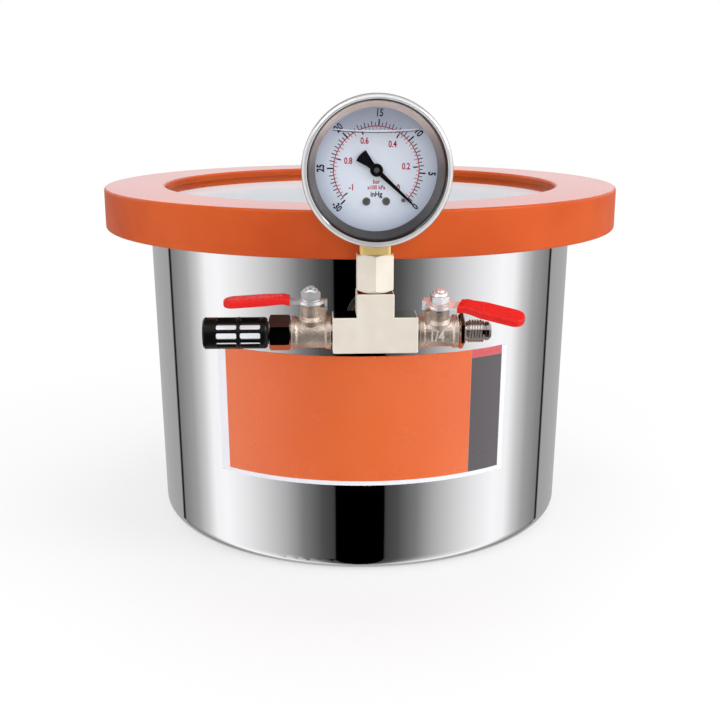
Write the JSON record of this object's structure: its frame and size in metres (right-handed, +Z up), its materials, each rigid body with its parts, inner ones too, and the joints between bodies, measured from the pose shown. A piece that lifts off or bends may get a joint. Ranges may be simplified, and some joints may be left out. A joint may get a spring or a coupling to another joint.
{
  "type": "vacuum chamber",
  "caption": "Steel vacuum degassing chamber with a glass lid in a silicone ring, a vacuum gauge, lever ball valves, an intake filter and a flare port.",
  "frame": {"origin": "centre of the pot's flat base, on the surface it stands on", "axes": "+Z up; -Y towards the gauge and manifold, which are the front; +X towards the flare connection"},
  "size_m": [0.3046, 0.3408, 0.2534],
  "materials": {
    "pot_steel": "mirror-polished stainless steel",
    "orange_silicone": "satin moulded silicone",
    "clear_glass": "polished toughened glass",
    "label_film": "printed vinyl film, left without words",
    "satin_nickel": "satin nickel plate on brass",
    "cast_nickel": "nickel plate on grit-blasted cast brass",
    "bright_nickel": "bright nickel plate",
    "steel": "plain turned steel",
    "brass": "plain brass",
    "bright_brass": "machined brass",
    "black_rubber": "moulded rubber",
    "white_ptfe": "turned PTFE",
    "red_vinyl": "dipped vinyl",
    "black_plastic": "moulded plastic",
    "filter_felt": "sintered fibre",
    "case_steel": "satin stainless steel",
    "bezel_steel": "polished stainless steel",
    "dial_white": "white enamel print ground",
    "dial_dark": "dark moulded plastic",
    "pointer_black": "matt black paint",
    "window_plastic": "clear flat window"
  },
  "bodies": {
    "chamber": {"chamber_pot": "pot_steel", "front_label": "label_film", "bulkhead_fitting": "bright_brass", "bulkhead_outer_seal": "black_rubber", "bulkhead_inner_seal": "black_rubber", "bulkhead_washer": "steel", "bulkhead_lock_nut": "bright_brass", "manifold_block": "satin_nickel", "left_nipple": "bright_brass", "right_nipple": "bright_brass", "left_valve_body": "cast_nickel", "left_valve_seats": "white_ptfe", "left_seat_retainer": "bright_brass", "left_stem_packing": "white_ptfe", "left_packing_gland": "bright_brass", "right_valve_body": "cast_nickel", "right_valve_seats": "white_ptfe", "right_seat_retainer": "bright_brass", "right_stem_packing": "white_ptfe", "right_packing_gland": "bright_brass", "filter_adapter": "bright_nickel", "filter_cage": "black_plastic", "filter_element": "filter_felt", "filter_end_cap": "black_plastic", "flare_fitting": "bright_nickel", "gauge_adapter": "satin_nickel", "gauge_socket": "brass", "gauge_case": "case_steel", "filler_plug": "black_rubber", "gauge_bezel": "bezel_steel", "gauge_window": "window_plastic", "window_seal": "black_rubber", "dial_ring": "dial_dark", "gauge_dial": "dial_white", "dial_screws": "steel", "pointer_stop_pin": "pointer_black", "bourdon_tube": "bright_brass", "bourdon_tip": "brass", "movement_front_plate": "brass", "movement_back_plate": "brass", "movement_pillars": "brass"},
    "lid": {"lid_gasket": "orange_silicone", "glass_lid": "clear_glass"},
    "left_handle": {"left_valve_ball": "bright_nickel", "left_valve_stem": "bright_brass", "left_lever": "steel", "left_lever_grip": "red_vinyl", "left_lever_washer": "steel", "left_lever_nut": "bright_nickel"},
    "right_handle": {"right_valve_ball": "bright_nickel", "right_valve_stem": "bright_brass", "right_lever": "steel", "right_lever_grip": "red_vinyl", "right_lever_washer": "steel", "right_lever_nut": "bright_nickel"},
    "sector": {"sector_gear": "bright_brass"},
    "pointer": {"gauge_pointer": "pointer_black", "pointer_arbor": "steel"},
    "link": {"movement_link": "brass"}
  },
  "joints": [
    {"name": "lid_lift", "type": "slide", "parent": "chamber", "child": "lid", "axis": [0, 0, 1], "range_m": [0, 0.15]},
    {"name": "left_valve_turn", "type": "hinge", "parent": "chamber", "child": "left_handle", "pos_m": [-0.0301, -0.165, 0.1432], "axis": [0, -0.0523, 0.9986], "range_deg": [0, 90]},
    {"name": "right_valve_turn", "type": "hinge", "parent": "chamber", "child": "right_handle", "pos_m": [0.0301, -0.165, 0.1432], "axis": [0, -0.309, 0.9511], "range_deg": [-67, 23]},
    {"name": "sector_swing", "type": "hinge", "parent": "chamber", "child": "sector", "pos_m": [0, -0.165, 0.2048], "axis": [0, -1, 0], "range_deg": [-53, 0], "stiffness_Nm_per_rad": 0.001},
    {"name": "pointer_turn", "type": "hinge", "parent": "chamber", "child": "pointer", "pos_m": [0, -0.165, 0.2198], "axis": [0, -1, 0], "range_deg": [0, 265]},
    {"name": "link_turn", "type": "hinge", "parent": "sector", "child": "link", "pos_m": [0.00391, -0.165, 0.20563], "axis": [0, -1, 0], "range_deg": [0, 61.2]}
  ],
  "couplings": [
    {"joint": "pointer_turn", "follows": "sector_swing", "ratio": -5},
    {"joint": "link_turn", "follows": "sector_swing", "ratio": -1.1539}
  ]
}
